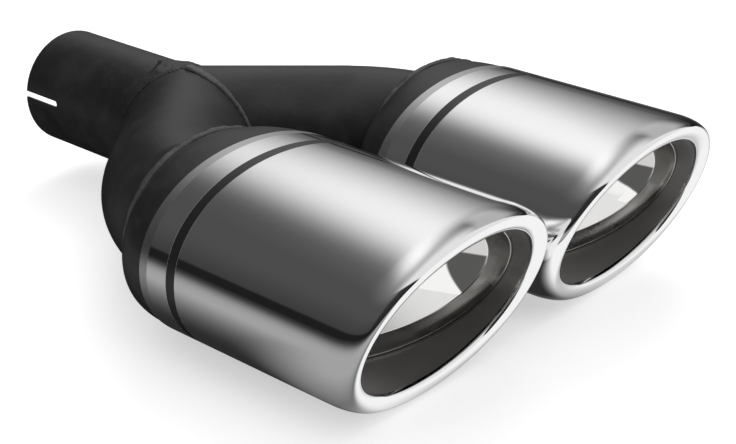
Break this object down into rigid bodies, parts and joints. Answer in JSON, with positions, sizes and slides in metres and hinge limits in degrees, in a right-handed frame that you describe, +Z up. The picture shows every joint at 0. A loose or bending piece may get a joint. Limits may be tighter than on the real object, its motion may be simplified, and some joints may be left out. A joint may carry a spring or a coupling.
{
  "type": "exhaust tip",
  "caption": "Dual oval exhaust tip: a slotted inlet pipe splits into bent branches, each ending in a domed cone and a polished oval sleeve with a slanted, rolled mouth.",
  "frame": {"origin": "middle of the inlet's open end", "axes": "+Y leaves the inlet along its bore, the two mouths face -Y, +Z is up and +X is to the right with the mouths seen from above and the inlet at the top"},
  "size_m": [0.2468, 0.3363, 0.083],
  "materials": {
    "inlet_pipe": "satin black paint",
    "left_branch_pipe": "satin black paint",
    "right_branch_pipe": "satin black paint",
    "inlet_weld": "satin black paint over weld beads",
    "centre_weld": "satin black paint over weld beads",
    "left_neck_weld": "satin black paint over weld beads",
    "right_neck_weld": "satin black paint over weld beads",
    "left_cone": "satin black paint",
    "right_cone": "satin black paint",
    "left_sleeve": "mirror polish with a satin black band",
    "right_sleeve": "mirror polish with a satin black band",
    "left_liner": "bright inner liner",
    "right_liner": "bright inner liner"
  },
  "bodies": {
    "root": {"inlet_pipe": "inlet_pipe", "left_branch_pipe": "left_branch_pipe", "right_branch_pipe": "right_branch_pipe", "inlet_weld": "inlet_weld", "centre_weld": "centre_weld", "left_neck_weld": "left_neck_weld", "right_neck_weld": "right_neck_weld", "left_cone": "left_cone", "right_cone": "right_cone", "left_sleeve": "left_sleeve", "right_sleeve": "right_sleeve", "left_liner": "left_liner", "right_liner": "right_liner"}
  },
  "joints": []
}
